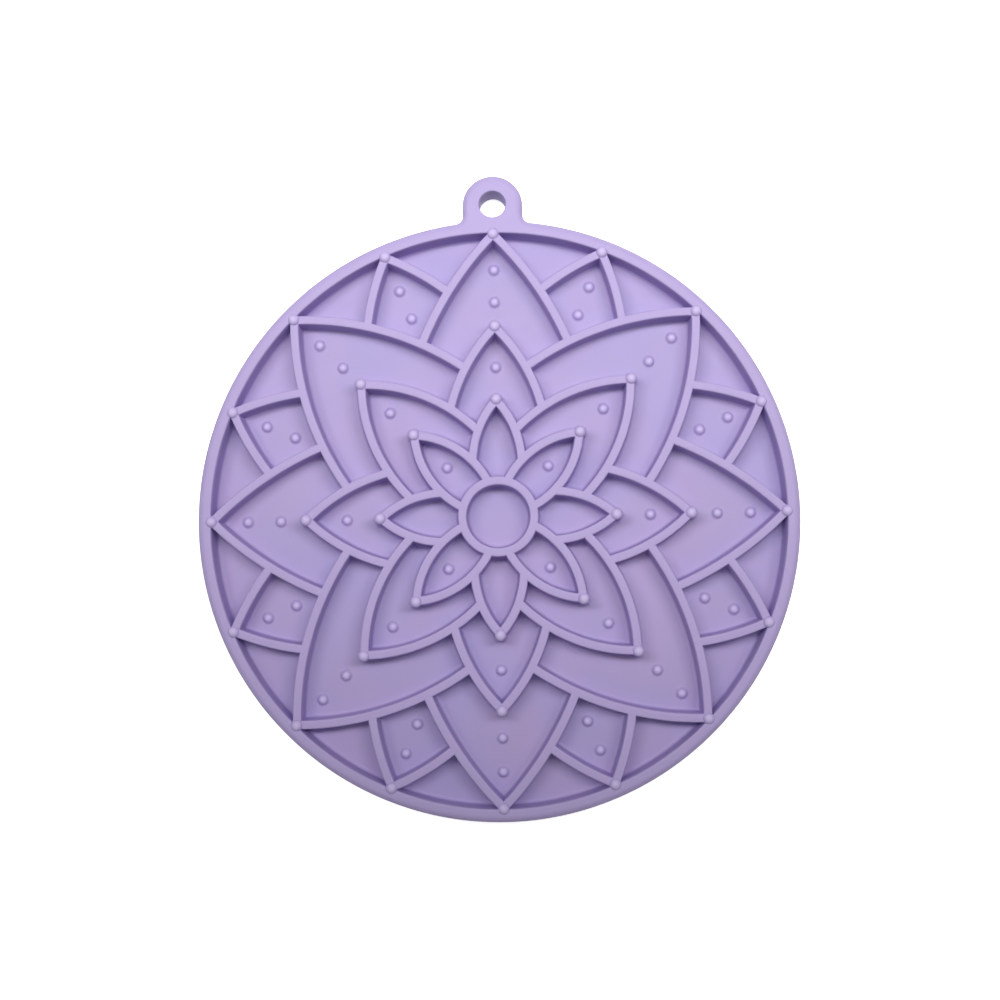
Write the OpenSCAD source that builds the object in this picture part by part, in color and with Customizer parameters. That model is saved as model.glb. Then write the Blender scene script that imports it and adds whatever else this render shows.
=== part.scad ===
// Round moulded lick mat with a lotus rosette of raised ridges and a hanging tab.
// Origin: centre of the disc's flat back. +Z leaves the licking face, +Y points to the tab.

/* [Body] */
// Outside radius of the round mat
outer_r = 100; // [99:0.1:102]
// Full thickness, back to rim top
total_t = 9.5; // [8:0.1:12]
// Thickness of the sheet under the cells
floor_t = 2.7; // [2:0.1:3.5]
// Width of the flat rim around the cells
rim_w = 4.5; // [4.2:0.1:4.8]
// Rounding of the outer top edge
edge_round = 2.4; // [1.6:0.1:2.4]
// Small bevel around the back
back_bevel = 0.5; // [0.2:0.1:1]

/* [Hanging tab] */
// How far the hole's middle stands outside the disc
hole_out = 5.4; // [4.5:0.1:8]
// Radius of the hanging hole
hole_r = 4.5; // [3:0.1:5]
// Half width of the tab, and the radius of its round end
tab_r = 10.1; // [9.4:0.1:12]
// Fillet radius where the tab joins the disc
tab_fillet_r = 2.8; // [2:0.1:4]
// How far the tab's root reaches into the rim
tab_root = 2.5; // [2.4:0.1:2.6]

/* [Ridges] */
// Width of each ridge at its top
ridge_w = 2.8; // [2.2:0.1:3]
// How much wider each wall stands at its foot
draft_run = 0.35; // [0.2:0.05:0.5]
// Small bevel along the top edges
edge_break = 0.5; // [0.3:0.1:0.8]
// Middle radius of the ring around the centre well, as a share of the well's radius
centre_ring_share = 0.125; // [0.115:0.001:0.135]

/* [Inner petals] */
// Distance from the centre to the inner petal tips, as a share of the well's radius
inner_tip_share = 0.407; // [0.4:0.001:0.412]
// Side curve radius of the inner front petals, as a share of the well's radius
inner_front_side_share = 0.31; // [0.302:0.001:0.317]
// Angle between each side and the middle line at an inner front tip
inner_front_tip_angle = 41.3; // [40.5:0.1:42]
// Side curve radius of the inner back petals, as a share of the well's radius
inner_back_side_share = 0.327; // [0.32:0.001:0.333]
// Angle between each side and the middle line at an inner back tip
inner_back_tip_angle = 42.3; // [41.5:0.1:43]

/* [Middle petals] */
// Distance from the centre to the middle petal tips, as a share of the well's radius
middle_tip_share = 0.665; // [0.659:0.001:0.671]
// Side curve radius of the middle front petals, as a share of the well's radius
middle_front_side_share = 0.563; // [0.557:0.001:0.569]
// Angle between each side and the middle line at a middle front tip
middle_front_tip_angle = 45.2; // [44.6:0.1:45.8]
// Side curve radius of the middle back petals, as a share of the well's radius
middle_back_side_share = 0.607; // [0.6:0.001:0.613]
// Angle between each side and the middle line at a middle back tip
middle_back_tip_angle = 44.8; // [44.2:0.1:45.4]

/* [Outer petals] */
// How far the outer and edge petal tips stop inside the rim's inner edge
outer_tip_inset = 0.4; // [0.2:0.1:0.8]
// Side curve radius of the outer front petals, as a share of the well's radius
outer_front_side_share = 1.011; // [1.004:0.001:1.019]
// Angle between each side and the middle line at an outer front tip
outer_front_tip_angle = 46; // [45.4:0.1:46.6]
// Side curve radius of the outer back petals, as a share of the well's radius
outer_back_side_share = 1.176; // [1.166:0.001:1.186]
// Angle between each side and the middle line at an outer back tip
outer_back_tip_angle = 44.9; // [44.3:0.1:45.5]
// Side curve radius of the edge petals, as a share of the well's radius
edge_side_share = 0.888; // [0.88:0.001:0.895]
// Angle between each side and the middle line at an edge petal's tip
edge_tip_angle = 45.7; // [45:0.1:46.4]

/* [Studs and nubs] */
// Radius of the round studs at the petal tips
stud_r = 1.9; // [1.8:0.1:2.1]
// Height of each stud's dome above the ridges
stud_rise = 1.1; // [0.6:0.1:1.6]
// How far the inner and middle studs stand outside their petal tips
stud_shift = 0.3; // [0:0.1:0.6]
// How far the middles of the rim's studs stand inside its inner edge
rim_stud_inset = 0.2; // [0.1:0.1:0.6]
// Radius of the small nubs on the cell floors
nub_r = 1.8; // [1.4:0.1:2]
// Height of the nubs above the floor
nub_h = 1.4; // [1.2:0.1:1.8]
// Distance from the centre to the inner front petals' nubs, as a share of the well's radius
inner_nub_share = 0.252; // [0.24:0.001:0.27]
// Distance from the centre to the middle petals' nubs, as a share of the well's radius
middle_nub_share = 0.533; // [0.52:0.001:0.546]
// Distances from the centre to the outer petals' nubs, as shares of the well's radius
outer_nub_near_share = 0.767; // [0.76:0.001:0.78]
outer_nub_far_share = 0.883; // [0.875:0.001:0.894]
// Distances from the centre to the edge petals' nubs, as shares of the well's radius
edge_nub_near_share = 0.773; // [0.77:0.001:0.78]
edge_nub_far_share = 0.881; // [0.874:0.001:0.889]

/* [Hidden] */
$fn = 96;
overrun = 1;
rubber_colour = [0.62, 0.56, 0.80];
ridge_colour = [0.68, 0.62, 0.85];
stud_colour = [0.72, 0.67, 0.88];
tau_angle = 360;
front_count = 4;
tip_count = 8;
rim_tip_count = 16;
front_turn = tau_angle / tip_count;
edge_turn = tau_angle / rim_tip_count;
quarter_turn = tau_angle / 4;
// Shares of each whole side curve that reach from the tip to under the nearer petals
inner_front_reach_share = 0.72;
inner_back_reach_share = 0.52;
middle_front_reach_share = 0.53;
middle_back_reach_share = 0.37;
outer_front_reach_share = 0.4;
outer_back_reach_share = 0.262;
edge_reach_share = 0.185;
well_r = outer_r - rim_w;
seam_r = outer_r - tab_root;
wall_top = total_t - edge_break;
wall_slope = draft_run / (wall_top - floor_t);
fillet_x = tab_r + tab_fillet_r;
fillet_y = sqrt(pow(outer_r + tab_fillet_r, 2) - pow(fillet_x, 2));
centre_ring_r = well_r * centre_ring_share;
inner_tip_r = well_r * inner_tip_share;
middle_tip_r = well_r * middle_tip_share;
outer_tip_r = well_r - outer_tip_inset;
inner_stud_x = inner_tip_r + stud_shift;
middle_stud_x = middle_tip_r + stud_shift;
rim_stud_x = well_r - rim_stud_inset;
hole_y = outer_r + hole_out;
// Each petal is its tip distance, side curve radius, tip angle and drawn share of its sides
inner_front = [
  inner_tip_r, well_r * inner_front_side_share, inner_front_tip_angle, inner_front_reach_share
];
inner_back = [
  inner_tip_r, well_r * inner_back_side_share, inner_back_tip_angle, inner_back_reach_share
];
middle_front = [
  middle_tip_r, well_r * middle_front_side_share, middle_front_tip_angle, middle_front_reach_share
];
middle_back = [
  middle_tip_r, well_r * middle_back_side_share, middle_back_tip_angle, middle_back_reach_share
];
outer_front = [
  outer_tip_r, well_r * outer_front_side_share, outer_front_tip_angle, outer_front_reach_share
];
outer_back = [
  outer_tip_r, well_r * outer_back_side_share, outer_back_tip_angle, outer_back_reach_share
];
edge_petal = [
  outer_tip_r, well_r * edge_side_share, edge_tip_angle, edge_reach_share
];

// Repeats something evenly around the centre, the first copy turned by start
module around(count, start) {
  for (i = [0 : count - 1])
    rotate(start + i * tau_angle / count)
      children();
}

// The waste outside a rounded top corner, drawn with the sharp corner at zero
module corner_waste() {
  difference() {
    translate([-edge_round, -edge_round])
      square(edge_round + overrun);
    translate([-edge_round, -edge_round])
      circle(edge_round);
  }
}

// Half section of a disc with a rounded top edge and a bevelled back edge
module edge_section(r) {
  difference() {
    polygon([
      [0, 0],
      [r - back_bevel, 0],
      [r, back_bevel],
      [r, total_t],
      [0, total_t]
    ]);
    translate([r, total_t])
      corner_waste();
  }
}

// The plan of the tab's root: a slice of the disc between the centres of its two fillets
module root_plan() {
  polygon([
    [0, 0],
    [fillet_x, fillet_y],
    [-fillet_x, fillet_y]
  ]);
}

// Takes out the hollow of the fillet on the +X side, with its edges rounded and bevelled
module fillet_waste() {
  translate([fillet_x, fillet_y, 0])
    rotate_extrude()
      union() {
        square([tab_fillet_r, total_t]);
        polygon([
          [0, -overrun],
          [tab_fillet_r + back_bevel + overrun, -overrun],
          [tab_fillet_r, back_bevel],
          [0, back_bevel]
        ]);
        translate([0, total_t - edge_round])
          square([tab_fillet_r, edge_round + overrun]);
        translate([tab_fillet_r, total_t])
          mirror([1, 0])
            corner_waste();
      }
}

// Tab and root at full thickness, reaching in to the seam with the rim
module tab_solid() {
  difference() {
    linear_extrude(total_t)
      root_plan();
    fillet_waste();
    mirror([1, 0, 0])
      fillet_waste();
    translate([0, 0, -overrun])
      cylinder(r = seam_r, h = total_t + 2 * overrun);
  }
  translate([0, hole_y, 0])
    rotate([quarter_turn, 0, 0])
      linear_extrude(hole_y - fillet_y) {
        edge_section(tab_r);
        mirror([1, 0])
          edge_section(tab_r);
      }
  translate([0, hole_y, 0])
    rotate_extrude(angle = tau_angle / 2)
      edge_section(tab_r);
  // A core that ties the straight part to the root
  translate([-tab_r / 2, fillet_y - tab_root, 0])
    cube([tab_r, hole_y - fillet_y + tab_root, total_t]);
}

// Takes out the room for the tab's root from the disc's edge
module root_waste() {
  difference() {
    translate([0, 0, -overrun])
      linear_extrude(total_t + 2 * overrun)
        root_plan();
    translate([0, 0, -overrun])
      cylinder(r = seam_r, h = total_t + 2 * overrun);
  }
}

// Half section of the centre ring and the petal ridges, for a middle line of radius r
module ridge_section(r) {
  polygon([
    [r - ridge_w / 2 - draft_run, floor_t],
    [r + ridge_w / 2 + draft_run, floor_t],
    [r + ridge_w / 2, wall_top],
    [r + ridge_w / 2 - edge_break, total_t],
    [r - ridge_w / 2 + edge_break, total_t],
    [r - ridge_w / 2, wall_top]
  ]);
}

// Takes out all that lies inside a ridge of middle radius r, up to its outer wall
module cover_waste(r) {
  translate([0, 0, floor_t - overrun])
    cylinder(
      r1 = r + ridge_w / 2 + draft_run + overrun * wall_slope,
      r2 = r + ridge_w / 2 - (edge_break + overrun) * wall_slope,
      h = total_t - floor_t + 2 * overrun
    );
}

// Moves to the centre of the curve that makes a petal's +Y side, the petal pointing along +X
module at_side(petal) {
  translate([petal[0] - petal[1] * sin(petal[2]), -petal[1] * cos(petal[2]), 0])
    children();
}

// The area of one whole petal, for cutting the ridges behind it
module petal_waste(petal) {
  intersection() {
    at_side(petal)
      cover_waste(petal[1]);
    mirror([0, 1, 0])
      at_side(petal)
        cover_waste(petal[1]);
  }
}

// The +Y side of a petal's ridge, from the tip back by its share of the whole curve
module ridge_half(petal) {
  intersection() {
    at_side(petal)
      rotate(quarter_turn - petal[2])
        rotate_extrude(angle = 2 * petal[2] * petal[3])
          ridge_section(petal[1]);
    translate([0, 0, floor_t])
      cube([outer_r, outer_r, total_t]);
  }
}

// One petal's ridge, pointing along +X, with room left for the stud at its tip
module petal_ridge(petal, stud_x) {
  difference() {
    union() {
      ridge_half(petal);
      mirror([0, 1, 0])
        ridge_half(petal);
    }
    post_waste(stud_x, 1);
  }
}

// An edge petal's ridge, drawn beside a front petal that points along +X
module edge_ridge() {
  difference() {
    rotate(edge_turn)
      petal_ridge(edge_petal, rim_stud_x);
    petal_waste(outer_front);
    rotate(front_turn)
      petal_waste(outer_back);
  }
}

// Copies something to both neighbours of a petal that points along +X
module beside(turn) {
  rotate(turn)
    children();
  rotate(-turn)
    children();
}

// Every stud post of one ring, for cutting the ridges and the rim
module post_waste(dist, count) {
  around(count, 0)
    translate([dist, 0, floor_t])
      cylinder(r = stud_r, h = total_t);
}

// A round post with a domed end
module stud() {
  translate([0, 0, floor_t])
    cylinder(r = stud_r, h = total_t - floor_t);
  dome_cap(stud_r, stud_rise, total_t);
}

// A spherical cap of base radius r and height rise, standing at height z
module dome_cap(r, rise, z) {
  ball_r = (pow(r, 2) + pow(rise, 2)) / (2 * rise);
  translate([0, 0, z])
    intersection() {
      translate([0, 0, rise - ball_r])
        sphere(ball_r);
      cylinder(r = r + overrun, h = rise + overrun);
    }
}

module base_sheet() {
  color(rubber_colour)
    difference() {
      rotate_extrude()
        polygon([
          [0, 0],
          [outer_r - back_bevel, 0],
          [outer_r, back_bevel],
          [outer_r, floor_t],
          [0, floor_t]
        ]);
      root_waste();
    }
}

module outer_rim() {
  color(ridge_colour)
    difference() {
      rotate_extrude()
        difference() {
          polygon([
            [well_r - draft_run, floor_t],
            [outer_r, floor_t],
            [outer_r, total_t],
            [well_r + edge_break, total_t],
            [well_r, wall_top]
          ]);
          translate([outer_r, total_t])
            corner_waste();
        }
      root_waste();
      post_waste(rim_stud_x, rim_tip_count);
    }
}

module hang_tab() {
  color(ridge_colour)
    difference() {
      tab_solid();
      translate([0, hole_y, -overrun])
        cylinder(r = hole_r, h = total_t + 2 * overrun);
    }
}

module centre_ring() {
  color(ridge_colour)
    rotate_extrude()
      ridge_section(centre_ring_r);
}

module inner_front_petals() {
  color(ridge_colour)
    around(front_count, front_turn)
      difference() {
        petal_ridge(inner_front, inner_stud_x);
        cover_waste(centre_ring_r);
      }
}

module inner_back_petals() {
  color(ridge_colour)
    around(front_count, 0)
      difference() {
        petal_ridge(inner_back, inner_stud_x);
        beside(front_turn)
          petal_waste(inner_front);
      }
}

module middle_front_petals() {
  color(ridge_colour)
    around(front_count, front_turn)
      difference() {
        petal_ridge(middle_front, middle_stud_x);
        beside(front_turn)
          petal_waste(inner_back);
      }
}

module middle_back_petals() {
  color(ridge_colour)
    around(front_count, 0)
      difference() {
        petal_ridge(middle_back, middle_stud_x);
        beside(front_turn)
          petal_waste(middle_front);
      }
}

module outer_front_petals() {
  color(ridge_colour)
    around(front_count, front_turn)
      difference() {
        petal_ridge(outer_front, rim_stud_x);
        beside(front_turn)
          petal_waste(middle_back);
      }
}

module outer_back_petals() {
  color(ridge_colour)
    around(front_count, 0)
      difference() {
        petal_ridge(outer_back, rim_stud_x);
        beside(front_turn)
          petal_waste(outer_front);
      }
}

module edge_petals() {
  color(ridge_colour)
    around(front_count, front_turn) {
      edge_ridge();
      mirror([0, 1, 0])
        edge_ridge();
    }
}

module inner_studs() {
  color(stud_colour)
    around(tip_count, 0)
      translate([inner_stud_x, 0, 0])
        stud();
}

module middle_studs() {
  color(stud_colour)
    around(tip_count, 0)
      translate([middle_stud_x, 0, 0])
        stud();
}

module rim_studs() {
  color(stud_colour)
    around(rim_tip_count, 0)
      translate([rim_stud_x, 0, 0])
        stud();
}

module inner_nubs() {
  color(stud_colour)
    around(front_count, front_turn)
      translate([well_r * inner_nub_share, 0, 0])
        dome_cap(nub_r, nub_h, floor_t);
}

module middle_nubs() {
  color(stud_colour)
    around(tip_count, 0)
      translate([well_r * middle_nub_share, 0, 0])
        dome_cap(nub_r, nub_h, floor_t);
}

module outer_nubs() {
  color(stud_colour)
    around(tip_count, 0)
      for (share = [outer_nub_near_share, outer_nub_far_share])
        translate([well_r * share, 0, 0])
          dome_cap(nub_r, nub_h, floor_t);
}

module edge_nubs() {
  color(stud_colour)
    around(tip_count, edge_turn)
      for (share = [edge_nub_near_share, edge_nub_far_share])
        translate([well_r * share, 0, 0])
          dome_cap(nub_r, nub_h, floor_t);
}

base_sheet();
outer_rim();
hang_tab();
centre_ring();
inner_front_petals();
inner_back_petals();
middle_front_petals();
middle_back_petals();
outer_front_petals();
outer_back_petals();
edge_petals();
inner_studs();
middle_studs();
rim_studs();
inner_nubs();
middle_nubs();
outer_nubs();
edge_nubs();
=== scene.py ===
import math

import bpy
import numpy as np
from mathutils import Matrix, Vector


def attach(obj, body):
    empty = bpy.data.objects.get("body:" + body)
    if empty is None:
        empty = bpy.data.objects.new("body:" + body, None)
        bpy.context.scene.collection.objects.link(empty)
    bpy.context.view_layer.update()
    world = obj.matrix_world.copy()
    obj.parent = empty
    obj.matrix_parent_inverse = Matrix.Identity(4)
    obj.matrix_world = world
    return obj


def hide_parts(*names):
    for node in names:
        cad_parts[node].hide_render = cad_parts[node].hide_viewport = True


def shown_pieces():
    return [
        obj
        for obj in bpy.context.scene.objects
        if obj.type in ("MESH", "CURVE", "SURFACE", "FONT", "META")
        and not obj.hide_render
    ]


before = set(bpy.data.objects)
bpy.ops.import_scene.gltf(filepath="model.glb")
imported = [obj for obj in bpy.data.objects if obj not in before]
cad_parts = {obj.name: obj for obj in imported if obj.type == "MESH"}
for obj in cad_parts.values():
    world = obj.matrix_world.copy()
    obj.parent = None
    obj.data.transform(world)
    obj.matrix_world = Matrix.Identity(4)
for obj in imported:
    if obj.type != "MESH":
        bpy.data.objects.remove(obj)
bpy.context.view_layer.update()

millimetre = 0.001

# Sizes that every piece of the moulding shares, in millimetres and degrees
matBody = {
    "outerRadius": 100.0,
    "rimWidth": 4.5,
    "thickness": 9.5,
    "floorHeight": 2.7,
    "edgeRound": 2.4,       # outer top edge
    "backBevel": 0.5,
    "bevelBow": 0.3,        # where the point that rounds the bevel stands, as a share of the bevel
    "footFillet": 1.2,      # soft corner where every wall meets the floor
    "footDip": 0.012,       # how far that corner starts under the floor
    "footLean": 4.0,        # how far short of upright that corner stops
    "draft": 0.35,          # how much wider a wall is at its foot
    "sink": 0.6,            # how far the raised features root into the sheet
    "sharpFrom": 50.0,      # an edge that bends more than this shades as a sharp one
}
wellRadius = matBody["outerRadius"] - matBody["rimWidth"]
footHeight = matBody["floorHeight"] - matBody["footDip"]    # where the soft corners start
rootHeight = matBody["floorHeight"] - matBody["sink"]       # where the raised features end, inside the sheet

noTriangles = np.zeros((0, 3), int)     # for a shell that is all quads


# Mesh helpers

def gridFaces(rows, columns, closedRows, closedColumns):
    # every cell of a rows x columns grid as one quad; a closed direction joins its last line to its first
    lines = np.arange(rows if closedRows else rows - 1), np.arange(columns if closedColumns else columns - 1)
    row, column = np.meshgrid(*lines, indexing="ij")
    nextRow, nextColumn = (row + 1) % rows, (column + 1) % columns
    corners = [(row, column), (row, nextColumn), (nextRow, nextColumn), (nextRow, column)]
    return np.stack([i * columns + j for i, j in corners], -1).reshape(-1, 4)


def fanFaces(ring, hub):
    # one triangle from the hub to every side of a closed ring
    return np.stack([np.full_like(ring, hub), ring, np.roll(ring, -1)], -1)


def endFans(rows, columns):
    # closes a tube of rows x columns points at both ends; the two hubs follow the tube's own points
    first = np.arange(columns)
    last = first + (rows - 1) * columns
    hub = rows * columns
    return np.concatenate([fanFaces(first, hub)[:, ::-1], fanFaces(last, hub + 1)])


def signedVolume(points, triangles):
    # a sixth of the sum of the corner triple products, positive when the faces point outwards
    a, b, c = points[triangles[:, 0]], points[triangles[:, 1]], points[triangles[:, 2]]
    return np.einsum("ij,ij->i", a, np.cross(b, c)).sum() / 6.0


def outwardFaces(points, quads, triangles):
    # turns all faces round when the closed surface encloses a negative volume
    halves = np.concatenate([quads[:, [0, 1, 2]], quads[:, [0, 2, 3]], triangles])
    if signedVolume(points, halves) < 0:
        return quads[:, ::-1], triangles[:, ::-1]
    return quads, triangles


def makePiece(name, shells, node, paintedHighlightSpan=None):
    # joins closed shells, each (points in millimetres, quads, triangles), into one object at the origin; the
    # attribute for the painted highlight climbs from 0 to 1 between the two heights of the span given
    points, faces, offset = [], [], 0
    for shellPoints, quads, triangles in shells:
        quads, triangles = outwardFaces(shellPoints, quads, triangles)
        points.append(shellPoints)
        faces += (quads + offset).tolist() + (triangles + offset).tolist()
        offset += len(shellPoints)
    points = np.concatenate(points)
    mesh = bpy.data.meshes.new(name)
    mesh.from_pydata((points * millimetre).tolist(), [], faces)
    mesh.validate()
    mesh.shade_smooth()
    mesh.set_sharp_from_angle(angle=math.radians(matBody["sharpFrom"]))
    # the painted highlight on the crowns of studs and nubs, read by the material
    if paintedHighlightSpan:
        low, high = paintedHighlightSpan
        climb = np.clip((points[:, 2] - low) / (high - low), 0.0, 1.0)
        mesh.attributes.new("paintedHighlight", "FLOAT", "POINT").data.foreach_set("value", climb)
    piece = bpy.data.objects.new(name, mesh)
    bpy.context.scene.collection.objects.link(piece)
    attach(piece, "root")
    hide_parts(node)


def roundCorner(middle, radius, span, steps):
    # points on a circle about (across, up) between the two angles of span: (across + r cos a, up + r sin a)
    angles = np.radians(np.linspace(*span, steps))
    return np.stack([middle[0] + radius * np.cos(angles), middle[1] + radius * np.sin(angles)], -1)


def spinShell(profile, columns):
    # a closed profile (radius, height) carried round the mat's axis: x = r cos a, y = r sin a, z = h
    angles = np.radians(np.linspace(0.0, 360.0, columns, endpoint=False))[:, None]
    x = np.cos(angles) * profile[:, 0]
    y = np.sin(angles) * profile[:, 0]
    z = np.broadcast_to(profile[:, 1], x.shape)
    points = np.stack([x, y, z], -1).reshape(-1, 3)
    return points, gridFaces(columns, len(profile), True, True), noTriangles


def domeShell(profile, columns):
    # an open profile from the axis out and back to the axis, spun round, with one point at each pole
    angles = np.radians(np.linspace(0.0, 360.0, columns, endpoint=False))
    inner = profile[1:-1]
    x = inner[:, :1] * np.cos(angles)
    y = inner[:, :1] * np.sin(angles)
    z = np.broadcast_to(inner[:, 1:], x.shape)
    poles = np.array([[0.0, 0.0, profile[0, 1]], [0.0, 0.0, profile[-1, 1]]])
    points = np.concatenate([np.stack([x, y, z], -1).reshape(-1, 3), poles])
    return points, gridFaces(len(inner), columns, False, True), endFans(len(inner), columns)


def turned(shell, degrees):
    # the same shell turned about the mat's middle
    cosine, sine = math.cos(math.radians(degrees)), math.sin(math.radians(degrees))
    points = shell[0] @ np.array([[cosine, sine, 0.0], [-sine, cosine, 0.0], [0.0, 0.0, 1.0]])
    return points, shell[1], shell[2]


def movedOut(shell, distance):
    # the same shell slid along x
    return shell[0] + np.array([distance, 0.0, 0.0]), shell[1], shell[2]


# Sheet, rim and tab

baseSheet = {
    "columns": 480,
    "backRings": 9,
    "floorRings": 14,
    "floorInset": 0.3,      # from the edge to the outermost ring of the floor
}


def makeSheet():
    # a flat disc: out along the back, up its bevelled edge, and in again along the cell floor
    edge, bevel, floor = matBody["outerRadius"], matBody["backBevel"], matBody["floorHeight"]
    bow = bevel * matBody["bevelBow"]
    backRadii = np.linspace(0.0, edge - bevel, baseSheet["backRings"])
    floorRadii = np.linspace(edge - baseSheet["floorInset"], 0.0, baseSheet["floorRings"])
    back = np.stack([backRadii, np.zeros_like(backRadii)], -1)
    side = np.array([[edge - bow, bow], [edge, bevel], [edge, floor]])
    front = np.stack([floorRadii, np.full_like(floorRadii, floor)], -1)
    shell = domeShell(np.concatenate([back, side, front]), baseSheet["columns"])
    makePiece("baseSheet", [shell], "base_sheet")


outerRim = {
    "columns": 720,
    "innerRound": 0.55,     # inner top edge
    "innerLean": 3.0,       # how far short of upright that round starts, in degrees
    "rootInset": 0.8,       # the hidden underside's middle point: how far in from the edge
    "rootDrop": 0.3,        # and how far under the floor
    "rootEnd": 0.5,         # how far under the floor the underside ends
}


def makeRim():
    # a ring: filleted foot, drafted inner wall, softened inner edge, flat top, rounded outer edge and wall
    edge, top, floor = matBody["outerRadius"], matBody["thickness"], matBody["floorHeight"]
    outer, inner, flare = matBody["edgeRound"], outerRim["innerRound"], matBody["footFillet"]
    foot = wellRadius - matBody["draft"] - flare
    footCurve = roundCorner((foot, footHeight + flare), flare, (270.0, 360.0 - matBody["footLean"]), steps=7)
    innerMiddle = (wellRadius + inner, top - inner)
    innerCurve = roundCorner(innerMiddle, inner, (180.0 - outerRim["innerLean"], 90.0), steps=8)
    outerCurve = roundCorner((edge - outer, top - outer), outer, (90.0, 0.0), steps=13)
    underside = np.array([[edge, floor], [edge - outerRim["rootInset"], floor - outerRim["rootDrop"]],
                          [foot, floor - outerRim["rootEnd"]]])
    profile = np.concatenate([footCurve, innerCurve, outerCurve, underside])
    makePiece("outerRim", [spinShell(profile, outerRim["columns"])], "outer_rim")


hangTab = {
    "holeOut": 5.4,         # hole's middle beyond the disc's edge
    "holeRadius": 4.5,
    "holeRound": 0.35,
    "holeBevel": 0.2,       # at the back
    "tabRadius": 10.1,
    "filletRadius": 2.8,
    "rootRadius": 96.1,     # how far in the tab's hidden root ends, measured from the mat's middle
    "rootSpokes": 20.0,     # degrees of the hole that face the hidden root
    "topDrop": 0.004,       # under the rim's top, so that no two faces coincide
    "backLift": 0.008,      # and over the sheet's back
    "tuck": 1.35,           # how far the top's own edge slips under the rim where a fillet runs out
    "topShares": (0.33, 0.67, 1.0),    # where the top's rings lie between hole and edge
    "filletSteps": 17,      # how many points each stretch of the outline has
    "sideSteps": 5,
    "endSteps": 32,         # on each side of the middle line
    "rootSteps": 25,
}
tabSidePoints = hangTab["filletSteps"] + hangTab["sideSteps"] + hangTab["endSteps"]


def rays(angles):
    # the unit direction (cos a, sin a) of each angle
    return np.stack([np.cos(angles), np.sin(angles)], -1)


def tabOutline():
    # the tab's edge anticlockwise as points and outward directions: fillet arc, side, round end, side,
    # fillet arc and the hidden root arc; a fillet's outward direction points at its own middle
    disc, reach, small = matBody["outerRadius"], hangTab["tabRadius"], hangTab["filletRadius"]
    filletSteps, sideSteps = hangTab["filletSteps"], hangTab["sideSteps"]
    holeY = disc + hangTab["holeOut"]
    filletX = reach + small
    filletY = math.sqrt((disc + small) ** 2 - filletX ** 2)
    toDisc = math.atan2(-filletY, -filletX) + 2.0 * math.pi
    filletRays = rays(np.linspace(toDisc, math.pi, filletSteps))
    fillet = np.array([filletX, filletY]) + small * filletRays
    side = np.stack([np.full(sideSteps, reach), np.linspace(filletY, holeY, sideSteps + 1)[1:]], -1)
    sideWays = np.tile([1.0, 0.0], (sideSteps, 1))
    endRays = rays(np.linspace(0.0, math.pi / 2, hangTab["endSteps"] + 1)[1:])
    rightPoints = np.concatenate([fillet, side, np.array([0.0, holeY]) + reach * endRays])
    rightWays = np.concatenate([-filletRays, sideWays, endRays])
    flip = np.array([-1.0, 1.0])
    spread = math.atan2(filletX, filletY)
    root = hangTab["rootRadius"] * rays(math.pi / 2 + np.linspace(spread, -spread, hangTab["rootSteps"]))
    outline = np.concatenate([rightPoints, rightPoints[-2::-1] * flip, root])
    outward = np.concatenate([rightWays, rightWays[-2::-1] * flip, np.zeros_like(root)])
    return outline, outward, holeY


def tabSpokes():
    # the hole's direction for each outline point; its angles climb evenly up one side, down the other and
    # across the root, so that no face between hole and edge turns over
    start = -90.0 + hangTab["rootSpokes"] / 2
    right = np.linspace(start, 90.0, tabSidePoints)
    left = np.linspace(90.0, 180.0 - start, tabSidePoints)[1:]
    root = np.linspace(180.0 - start, 360.0 + start, hangTab["rootSteps"] + 2)[1:-1]
    return rays(np.radians(np.concatenate([right, left, root])))


def tabTuck():
    # how far the top's edge moves in at each outline point: the square of the way back along each fillet
    fillet = hangTab["tuck"] * np.linspace(1.0, 0.0, hangTab["filletSteps"]) ** 2
    plain = np.zeros(2 * (tabSidePoints - len(fillet)) - 1)
    return np.concatenate([fillet, plain, fillet[::-1], np.zeros(hangTab["rootSteps"])])[:, None]


def makeTab():
    # rings round the hole: up its wall, out over the top, down the rounded edge and back underneath; a ring
    # at depth d is the outline moved in by d along the outward directions, and the top's rings lie between
    bevel, edgeRound, back = matBody["backBevel"], matBody["edgeRound"], hangTab["backLift"]
    bow, top = bevel * matBody["bevelBow"], matBody["thickness"] - hangTab["topDrop"]
    hole, soft, lip = hangTab["holeRadius"], hangTab["holeRound"], hangTab["holeBevel"]
    outline, ways, holeY = tabOutline()
    spokes = tabSpokes()
    middle = np.array([0.0, holeY])
    holeCurve = roundCorner((hole + soft, top - soft), soft, (180.0, 90.0), steps=6)
    holeRings = [(hole + lip, back), (hole, back + lip), *holeCurve]
    rings = [(middle + spokes * radius, z) for radius, z in holeRings]
    inner = middle + spokes * (hole + soft)
    outer = outline - ways * (edgeRound + tabTuck())
    rings += [(inner + (outer - inner) * share, top) for share in hangTab["topShares"]]
    edgeCurve = roundCorner((0.0, top - edgeRound), edgeRound, (90.0, 0.0), steps=13)
    edgeRings = [(edgeRound - x, z) for x, z in edgeCurve]
    edgeRings += [(0.0, bevel), (bow, back + bow), (bevel, back)]
    rings += [(outline - ways * depth, z) for depth, z in edgeRings]
    flat = np.stack([ring for ring, z in rings])
    heights = np.array([z for ring, z in rings])[:, None, None]
    points = np.concatenate([flat, np.broadcast_to(heights, flat.shape[:2] + (1,))], -1)
    quads = gridFaces(flat.shape[0], flat.shape[1], True, True)
    makePiece("hangTab", [(points.reshape(-1, 3), quads, noTriangles)], "hang_tab")


# Ridges

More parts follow.
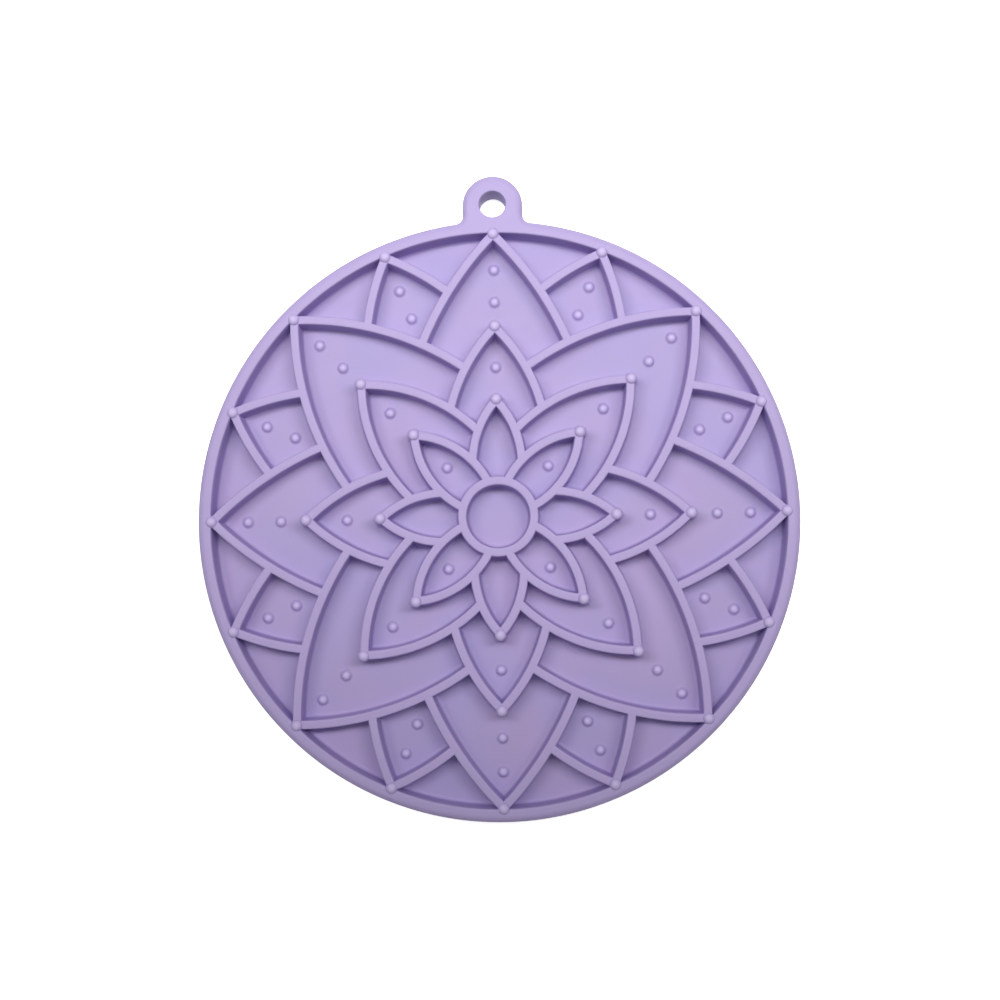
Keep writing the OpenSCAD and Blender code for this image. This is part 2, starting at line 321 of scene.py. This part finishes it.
ridges = {
    "width": 2.8,
    "edgeRound": 0.42,
    "edgeSpan": (3.0, 82.0),    # where that round starts and stops, in degrees from level
    "crown": 0.03,
    "crownReach": 0.9,      # the crown starts this share of the edge's round in from the wall
    "crownSteps": 4,
    "stations": 44,         # cross-sections along each side of a petal
}

# tip and side: where the tip stands and the curve radius of the sides, as shares of the well's radius;
# slant: angle at the tip; sweep: how far each side runs back, in degrees of its curve; turn and count: where
# the petals stand; drop: how far the tops lie under the rim's, so that a nearer ridge has the upper face
petalRings = {
    "innerFrontPetals": {
        "node": "inner_front_petals", "tip": 0.407, "side": 0.310, "slant": 41.3, "sweep": 59.3,
        "turn": 45.0, "count": 4, "drop": 0.010},
    "innerBackPetals": {
        "node": "inner_back_petals", "tip": 0.407, "side": 0.327, "slant": 42.3, "sweep": 40.6,
        "turn": 0.0, "count": 4, "drop": 0.018},
    "middleFrontPetals": {
        "node": "middle_front_petals", "tip": 0.665, "side": 0.563, "slant": 45.2, "sweep": 46.0,
        "turn": 45.0, "count": 4, "drop": 0.026},
    "middleBackPetals": {
        "node": "middle_back_petals", "tip": 0.665, "side": 0.607, "slant": 44.8, "sweep": 31.6,
        "turn": 0.0, "count": 4, "drop": 0.034},
    "outerFrontPetals": {
        "node": "outer_front_petals", "tip": 0.9958, "side": 1.011, "slant": 46.0, "sweep": 36.0,
        "turn": 45.0, "count": 4, "drop": 0.042},
    "outerBackPetals": {
        "node": "outer_back_petals", "tip": 0.9958, "side": 1.176, "slant": 44.9, "sweep": 22.8,
        "turn": 0.0, "count": 4, "drop": 0.050},
    "edgePetals": {
        "node": "edge_petals", "tip": 0.9958, "side": 0.888, "slant": 45.7, "sweep": 16.4,
        "turn": 22.5, "count": 8, "drop": 0.058},
}

centreRing = {
    "radius": 0.125,        # as a share of the well's radius
    "columns": 160,
}


def ridgeSection(top):
    # a closed section (sideways place, height): filleted foot, drafted wall, rounded edge, crowned top whose
    # height falls with the square of the sideways place
    half, edge, crown = ridges["width"] / 2, ridges["edgeRound"], ridges["crown"]
    flare = matBody["footFillet"]
    foot = half + matBody["draft"] + flare
    footCurve = roundCorner((foot, footHeight + flare), flare, (270.0, 180.0 + matBody["footLean"]), steps=7)
    edgeCurve = roundCorner((half - edge, top - edge - crown), edge, ridges["edgeSpan"], steps=7)
    across = np.linspace(half - edge * ridges["crownReach"], 0.0, ridges["crownSteps"] + 1)[1:]
    crownCurve = np.stack([across, top - crown * (across / half) ** 2], -1)
    right = np.concatenate([footCurve, edgeCurve, crownCurve])
    left = right[::-1][1:] * np.array([-1.0, 1.0])
    return np.concatenate([right, left, [[-foot, rootHeight], [foot, rootHeight]]])


def petalShell(petal):
    # the section rides along the +Y side's circle from its far end to the mitre on the middle line, and back
    # along the mirrored side; a sideways place moves a point to the circle that much wider
    section = ridgeSection(matBody["thickness"] - petal["drop"])
    slant, side = math.radians(petal["slant"]), petal["side"] * wellRadius
    middleX = petal["tip"] * wellRadius - side * math.sin(slant)
    middleY = side * math.cos(slant)
    radius = side + section[:, 0]
    mitre = np.arcsin(middleY / radius)
    farEnd = math.radians(90.0 - petal["slant"] + petal["sweep"])
    along = np.linspace(0.0, 1.0, ridges["stations"])[:, None]
    angle = farEnd + (mitre - farEnd) * along
    x = middleX + radius * np.cos(angle)
    y = -middleY + radius * np.sin(angle)
    y[-1] = 0.0
    near = np.stack([x, y, np.broadcast_to(section[:, 1], x.shape)], -1)
    far = near[::-1][1:] * np.array([1.0, -1.0, 1.0])
    tube = np.concatenate([near, far])
    rows, columns = tube.shape[:2]
    points = np.concatenate([tube.reshape(-1, 3), tube[:1].mean(1), tube[-1:].mean(1)])
    return points, gridFaces(rows, columns, False, True), endFans(rows, columns)


def makePetals(name, petal):
    # one petal's shell repeated at even steps round the mat's middle
    shell = petalShell(petal)
    step = 360.0 / petal["count"]
    makePiece(name, [turned(shell, petal["turn"] + step * i) for i in range(petal["count"])], petal["node"])


def makeCentreRing():
    # the ridges' own section carried round a circle
    profile = ridgeSection(matBody["thickness"]) + np.array([centreRing["radius"] * wellRadius, 0.0])
    makePiece("centreRing", [spinShell(profile, centreRing["columns"])], "centre_ring")


# Studs and nubs

studs = {
    "radius": 1.9,
    "rise": 1.1,            # above the ridges
    "draft": 0.12,
    "shoulderOut": 0.03,    # the post's top: how far outside the cap
    "shoulderDrop": 0.12,   # and how far under the ridges' tops
    "paintedHighlightStart": 0.2,     # where the painted highlight on the crown begins, above the ridges
    "columns": 36,
    # node, share of the well's radius, how many
    "rings": {
        "innerStuds": ("inner_studs", 0.4102, 8),
        "middleStuds": ("middle_studs", 0.6682, 8),
        "rimStuds": ("rim_studs", 0.9979, 16)},
}

nubs = {
    "radius": 1.8,
    "rise": 1.4,
    "foot": 1.0,            # radius of the soft corner round each nub
    "paintedHighlightStart": 0.3,     # where the painted highlight on the crown begins, above the floor
    "columns": 32,
    # node, shares of the well's radius, first angle, how many at each share
    "rings": {
        "innerNubs": ("inner_nubs", (0.252,), 45.0, 4),
        "middleNubs": ("middle_nubs", (0.533,), 0.0, 8),
        "outerNubs": ("outer_nubs", (0.767, 0.883), 0.0, 8),
        "edgeNubs": ("edge_nubs", (0.773, 0.881), 22.5, 8)},
}


def ballRadius(radius, rise):
    # the ball whose cap has this radius and rise: (radius squared + rise squared) / twice the rise
    return (radius ** 2 + rise ** 2) / (2.0 * rise)


def makeStuds():
    # a ball cap over a drafted post with a soft foot
    radius, rise, top = studs["radius"], studs["rise"], matBody["thickness"]
    ball, flare = ballRadius(radius, rise), matBody["footFillet"]
    capEnd = math.degrees(math.asin((ball - rise) / ball))
    cap = roundCorner((0.0, top + rise - ball), ball, (90.0, capEnd), steps=11)
    cap[0, 0] = 0.0
    shoulder = [[radius + studs["shoulderOut"], top - studs["shoulderDrop"]]]
    foot = radius + studs["draft"] + flare
    footCurve = roundCorner((foot, footHeight + flare), flare, (180.0 + matBody["footLean"], 270.0), steps=6)
    root = [[foot, rootHeight], [0.0, rootHeight]]
    shell = domeShell(np.concatenate([cap, shoulder, footCurve, root]), studs["columns"])
    for name, (node, share, count) in studs["rings"].items():
        shells = [turned(movedOut(shell, share * wellRadius), 360.0 * i / count) for i in range(count)]
        makePiece(name, shells, node, paintedHighlightSpan=(top + studs["paintedHighlightStart"], top + rise))


def makeNubs():
    # a ball cap whose edge runs into a soft corner: both circles touch, so the corner's middle stands at
    # sqrt((ball + foot) squared - (foot + ball - rise) squared) from the nub's axis
    rise, foot = nubs["rise"], nubs["foot"]
    ball = ballRadius(nubs["radius"], rise)
    up = foot + ball - rise
    across = math.sqrt((ball + foot) ** 2 - up ** 2)
    touch = math.degrees(math.atan2(up, across))
    cap = roundCorner((0.0, footHeight + rise - ball), ball, (90.0, touch), steps=11)
    cap[0, 0] = 0.0
    corner = roundCorner((across, footHeight + foot), foot, (180.0 + touch, 270.0), steps=8)[1:]
    root = [[across, rootHeight], [0.0, rootHeight]]
    shell = domeShell(np.concatenate([cap, corner, root]), nubs["columns"])
    for name, (node, shares, turn, count) in nubs["rings"].items():
        shells = [turned(movedOut(shell, share * wellRadius), turn + 360.0 * i / count)
                  for i in range(count) for share in shares]
        makePiece(name, shells, node, paintedHighlightSpan=(footHeight + nubs["paintedHighlightStart"], footHeight + rise))


makeSheet()
makeRim()
makeTab()
makeCentreRing()
for name, petal in petalRings.items():
    makePetals(name, petal)
makeStuds()
makeNubs()
print("moulding: sheet, rim, tab, ridges, studs and nubs made")


# Material

lavenderRubber = {
    "base": (0.455, 0.372, 0.655),
    "warm": (0.476, 0.374, 0.646),
    "cool": (0.432, 0.366, 0.664),
    "tintSpan": (0.32, 0.68),           # the cloud's values at which the tint is all cool and all warm
    "raised": (0.486, 0.396, 0.704),    # painted light: the tops of rim, ridges and studs, a little paler than the shut-in cell floors
    "paintedLightSpan": (0.0070, 0.0094),     # heights in metres where the painted light on the tops begins and is full
    "paintedShade": (0.362, 0.282, 0.568),      # painted shade: the walls between floor and tops, deeper
    # heights in metres where the painted shade on the walls begins and is full
    "paintedShadeSpan": (0.0028, 0.0036),
    "paintedHighlight": (0.665, 0.570, 0.890),    # painted highlight: the crowns of studs and nubs, palest of all
    # how much of the painted highlight colour the crowns take
    "paintedHighlightShare": 0.95,
    "roughness": (0.50, 0.56),
    "glossSpan": (0.3, 0.7),            # the noise's values that give those two
    "specular": 0.4,
    "subsurface": 0.04,
    "subsurfaceRadius": (1.0, 0.7, 1.0),
    "subsurfaceScale": 0.0012,
    "cloudSize": 26.0,
    "grainSize": 2600.0,
    "grain": 0.000012,      # height of the moulded grain, in metres
    "grainStrength": 0.6,
}

# detail and roughness of each noise, and the gloss noise's own scale
mottle = {
    "cloud": (3.0, 0.55),
    "grain": (4.0, 0.6),
    "gloss": (5.0, 0.5),
    "glossSize": 140.0,
}


def newMath(nodes, operation):
    # a Math node that does the named sum
    node = nodes.new("ShaderNodeMath")
    node.operation = operation
    return node


def setRange(node, side, span):
    # the two ends of a Map Range node's From or To side
    node.inputs[side + " Min"].default_value, node.inputs[side + " Max"].default_value = span


def makeMottleGroup():
    # slow drifts of tint and gloss, with a fine moulded grain, all from object coordinates
    group = bpy.data.node_groups.new("rubberMottle", "ShaderNodeTree")
    for way, names in (("INPUT", ("Cloud Size", "Grain Size")), ("OUTPUT", ("Cloud", "Gloss", "Grain"))):
        for name in names:
            group.interface.new_socket(name=name, in_out=way, socket_type="NodeSocketFloat")
    nodes, links = group.nodes, group.links
    inputs, outputs = nodes.new("NodeGroupInput"), nodes.new("NodeGroupOutput")
    place = nodes.new("ShaderNodeTexCoord")

    def noise(kind, result):
        # one noise over the object, led to an output of the group; gives back the noise's scale socket
        node = nodes.new("ShaderNodeTexNoise")
        node.inputs["Detail"].default_value, node.inputs["Roughness"].default_value = mottle[kind]
        links.new(place.outputs["Object"], node.inputs["Vector"])
        links.new(node.outputs["Fac"], outputs.inputs[result])
        return node.inputs["Scale"]

    links.new(inputs.outputs["Cloud Size"], noise("cloud", "Cloud"))
    links.new(inputs.outputs["Grain Size"], noise("grain", "Grain"))
    noise("gloss", "Gloss").default_value = mottle["glossSize"]
    return group


def makeRubber(mottleGroup):
    # the clouds give the tint; height gives the painted shade on the walls and the painted light on the
    # tops, and the piece's own attribute gives the painted highlight on the crowns
    material = bpy.data.materials.new("lavenderRubber")
    material.use_nodes = True
    nodes, links = material.node_tree.nodes, material.node_tree.links
    shader = nodes["Principled BSDF"]
    drift = nodes.new("ShaderNodeGroup")
    drift.node_tree = mottleGroup
    drift.inputs["Cloud Size"].default_value = lavenderRubber["cloudSize"]
    drift.inputs["Grain Size"].default_value = lavenderRubber["grainSize"]
    place = nodes.new("ShaderNodeTexCoord")
    parts = nodes.new("ShaderNodeSeparateXYZ")
    links.new(place.outputs["Object"], parts.inputs["Vector"])

    def towards(colour, factor, under):
        # mixes one plain colour over another; a colour mix takes them at sockets 6 and 7 and gives it at 2
        mix = nodes.new("ShaderNodeMix")
        mix.data_type = "RGBA"
        mix.inputs[7].default_value = (*lavenderRubber[colour], 1.0)
        links.new(factor, mix.inputs[0])
        links.new(under, mix.inputs[6])
        return mix.outputs[2]

    def heightMask(span):
        # climbs smoothly from 0 to 1 between the two heights of the span
        mask = nodes.new("ShaderNodeMapRange")
        mask.interpolation_type = "SMOOTHSTEP"
        setRange(mask, "From", lavenderRubber[span])
        links.new(parts.outputs["Z"], mask.inputs["Value"])
        return mask.outputs["Result"]

    tint = nodes.new("ShaderNodeValToRGB")
    coolEnd, warmEnd = tint.color_ramp.elements
    coolEnd.position, warmEnd.position = lavenderRubber["tintSpan"]
    coolEnd.color = (*lavenderRubber["cool"], 1.0)
    warmEnd.color = (*lavenderRubber["warm"], 1.0)
    tint.color_ramp.elements.new(0.5).color = (*lavenderRubber["base"], 1.0)
    links.new(drift.outputs["Cloud"], tint.inputs["Fac"])
    # reads the painted highlight on the crowns of studs and nubs
    crown = nodes.new("ShaderNodeAttribute")
    crown.attribute_name = "paintedHighlight"
    crownShare = newMath(nodes, "MULTIPLY")
    crownShare.inputs[1].default_value = lavenderRubber["paintedHighlightShare"]
    links.new(crown.outputs["Fac"], crownShare.inputs[0])
    # painted shade: the walls from the floor upwards are mixed towards the deeper colour
    colour = towards("paintedShade", heightMask("paintedShadeSpan"), tint.outputs["Color"])
    # painted light: the tops are mixed towards the paler colour
    colour = towards("raised", heightMask("paintedLightSpan"), colour)
    # painted highlight: the crowns are mixed towards the palest colour
    colour = towards("paintedHighlight", crownShare.outputs[0], colour)
    links.new(colour, shader.inputs["Base Color"])
    gloss = nodes.new("ShaderNodeMapRange")
    setRange(gloss, "From", lavenderRubber["glossSpan"])
    setRange(gloss, "To", lavenderRubber["roughness"])
    links.new(drift.outputs["Gloss"], gloss.inputs["Value"])
    links.new(gloss.outputs["Result"], shader.inputs["Roughness"])
    bump = nodes.new("ShaderNodeBump")
    bump.inputs["Strength"].default_value = lavenderRubber["grainStrength"]
    bump.inputs["Distance"].default_value = lavenderRubber["grain"]
    links.new(drift.outputs["Grain"], bump.inputs["Height"])
    links.new(bump.outputs["Normal"], shader.inputs["Normal"])
    shader.inputs["Subsurface Weight"].default_value = lavenderRubber["subsurface"]
    shader.inputs["Subsurface Radius"].default_value = lavenderRubber["subsurfaceRadius"]
    shader.inputs["Subsurface Scale"].default_value = lavenderRubber["subsurfaceScale"]
    shader.inputs["Specular IOR Level"].default_value = lavenderRubber["specular"]
    return material


rubber = makeRubber(makeMottleGroup())
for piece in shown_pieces():
    piece.data.materials.clear()
    piece.data.materials.append(rubber)
print("material: lavender rubber on every piece")


# Floor, light and camera

studio = {
    "floorSize": 6.0,
    "floorGap": 0.0001,     # keeps the paper off the mat's flat back
    "floorColour": 0.88,
    "floorLift": 0.86,      # what the camera sees added to the floor, so that it reads as white
    "fillAbove": 0.04,      # soft light of the room from overhead
    "fillAside": 0.18,      # and from the pale walls all round
    "wallToCeiling": (0.45, 0.95),      # rise of a direction, 0 level and 1 straight up, at either's edge
}

# a row of soft lamps high up, a little beyond the tab; their beams fade towards the mat's bottom edge
keyLamps = {
    "count": 5,
    "spacing": 0.28,
    "middle": (0.03, 0.23, 0.80),       # place of the middle lamp, in metres
    "aim": (0.02, 0.196, 0.0),          # the point that all of them are turned to
    "radius": 0.12,         # a wider lamp gives softer shadows
    "power": 7.1,           # of each lamp, in watts
    "cone": 56.0,           # full angle of each beam, in degrees
    "fade": 1.0,            # share of the beam over which it fades out
}


def cameraGlow(nodes, links):
    # 1 for what the camera, a gloss or a clear material sees, 0 for light on the object
    path = nodes.new("ShaderNodeLightPath")
    cameraOrGloss = newMath(nodes, "MAXIMUM")
    anyOfThree = newMath(nodes, "MAXIMUM")
    links.new(path.outputs["Is Camera Ray"], cameraOrGloss.inputs[0])
    links.new(path.outputs["Is Glossy Ray"], cameraOrGloss.inputs[1])
    links.new(cameraOrGloss.outputs[0], anyOfThree.inputs[0])
    links.new(path.outputs["Is Transmission Ray"], anyOfThree.inputs[1])
    return anyOfThree.outputs[0]


def makeFloor():
    # one square of pale paper that takes the mat's shadow; the glow is only for what looks at it
    half, low = studio["floorSize"] / 2, -studio["floorGap"]
    mesh = bpy.data.meshes.new("studioFloor")
    corners = [(-half, -half, low), (half, -half, low), (half, half, low), (-half, half, low)]
    mesh.from_pydata(corners, [], [(0, 1, 2, 3)])
    floor = bpy.data.objects.new("studioFloor", mesh)
    bpy.context.scene.collection.objects.link(floor)
    material = bpy.data.materials.new("studioPaper")
    material.use_nodes = True
    nodes, links = material.node_tree.nodes, material.node_tree.links
    nodes.remove(nodes["Principled BSDF"])
    paper = nodes.new("ShaderNodeBsdfDiffuse")
    paper.inputs["Color"].default_value = (*[studio["floorColour"]] * 3, 1.0)
    glow = nodes.new("ShaderNodeEmission")
    strength = newMath(nodes, "MULTIPLY")
    strength.inputs[1].default_value = studio["floorLift"]
    links.new(cameraGlow(nodes, links), strength.inputs[0])
    links.new(strength.outputs[0], glow.inputs["Strength"])
    both = nodes.new("ShaderNodeAddShader")
    links.new(paper.outputs[0], both.inputs[0])
    links.new(glow.outputs[0], both.inputs[1])
    links.new(both.outputs[0], nodes["Material Output"].inputs["Surface"])
    floor.data.materials.append(material)


def makeWorld():
    # the camera sees white; the object is lit by pale walls that dim towards the ceiling
    world = bpy.data.worlds.new("studioWorld")
    bpy.context.scene.world = world
    world.use_nodes = True
    nodes, links = world.node_tree.nodes, world.node_tree.links
    background = nodes["Background"]
    background.inputs["Color"].default_value = (1.0, 1.0, 1.0, 1.0)
    direction = nodes.new("ShaderNodeTexCoord")
    height = nodes.new("ShaderNodeSeparateXYZ")
    links.new(direction.outputs["Generated"], height.inputs["Vector"])
    room = nodes.new("ShaderNodeMapRange")
    room.interpolation_type = "SMOOTHSTEP"
    setRange(room, "From", studio["wallToCeiling"])
    setRange(room, "To", (studio["fillAside"], studio["fillAbove"]))
    links.new(height.outputs["Z"], room.inputs["Value"])
    level = nodes.new("ShaderNodeMapRange")
    level.inputs["To Max"].default_value = 1.0
    links.new(room.outputs["Result"], level.inputs["To Min"])
    links.new(cameraGlow(nodes, links), level.inputs["Value"])
    links.new(level.outputs["Result"], background.inputs["Strength"])


def makeKeyLamps():
    # lamps at even steps along x, all turned to one point
    for i in range(keyLamps["count"]):
        light = bpy.data.lights.new(f"keyLamp{i}", "SPOT")
        light.energy = keyLamps["power"]
        light.shadow_soft_size = keyLamps["radius"]
        light.spot_size = math.radians(keyLamps["cone"])
        light.spot_blend = keyLamps["fade"]
        lamp = bpy.data.objects.new(f"keyLamp{i}", light)
        bpy.context.scene.collection.objects.link(lamp)
        along = (i - (keyLamps["count"] - 1) / 2) * keyLamps["spacing"]
        lamp.location = Vector(keyLamps["middle"]) + Vector((along, 0.0, 0.0))
        toAim = Vector(keyLamps["aim"]) - lamp.location
        lamp.rotation_euler = toAim.to_track_quat("-Z", "Y").to_euler()


viewpoint = {
    "unit": 0.0953,         # metres from the mat's middle to its outer studs
    "distance": 4.3,        # from the camera to the mat, in those units
    "tilt": -4.17,          # these three turns are the mat's own, in degrees, as the photo's camera saw it
    "sideTilt": -1.0,
    "roll": 1.1,
    "pixelsPerUnit": 288.8,
    "middleAt": (498.15, 516.1),    # pixel where the mat's middle stands
    "planeHeight": 0.0103,          # height that this pixel is taken at, in metres
    "framePixels": 1000.0,
    "sensorWidth": 36.0,            # in millimetres
}


def makeCamera():
    # the mat's tilt seen by a camera that looks straight down is turned into the camera's own turn and place
    turn = (Matrix.Rotation(math.radians(viewpoint["tilt"]), 3, "X")
            @ Matrix.Rotation(math.radians(viewpoint["sideTilt"]), 3, "Y")
            @ Matrix.Rotation(math.radians(viewpoint["roll"]), 3, "Z")).transposed()
    scale, frameWidth = viewpoint["pixelsPerUnit"], viewpoint["framePixels"]
    middleX, middleY = viewpoint["middleAt"]
    offset = Vector(((frameWidth / 2 - middleX) / scale, (middleY - frameWidth / 2) / scale,
                     viewpoint["distance"]))
    place = turn @ (offset * viewpoint["unit"]) + Vector((0.0, 0.0, viewpoint["planeHeight"]))
    lens = bpy.data.cameras.new("photoCamera")
    lens.sensor_width = viewpoint["sensorWidth"]
    lens.lens = viewpoint["sensorWidth"] * scale * viewpoint["distance"] / frameWidth
    camera = bpy.data.objects.new("photoCamera", lens)
    bpy.context.scene.collection.objects.link(camera)
    camera.matrix_world = Matrix.Translation(place) @ turn.to_4x4()
    bpy.context.scene.camera = camera


makeFloor()
makeWorld()
makeKeyLamps()
makeCamera()
bpy.context.scene.view_settings.view_transform = "Standard"
print("studio: floor, light and camera ready")
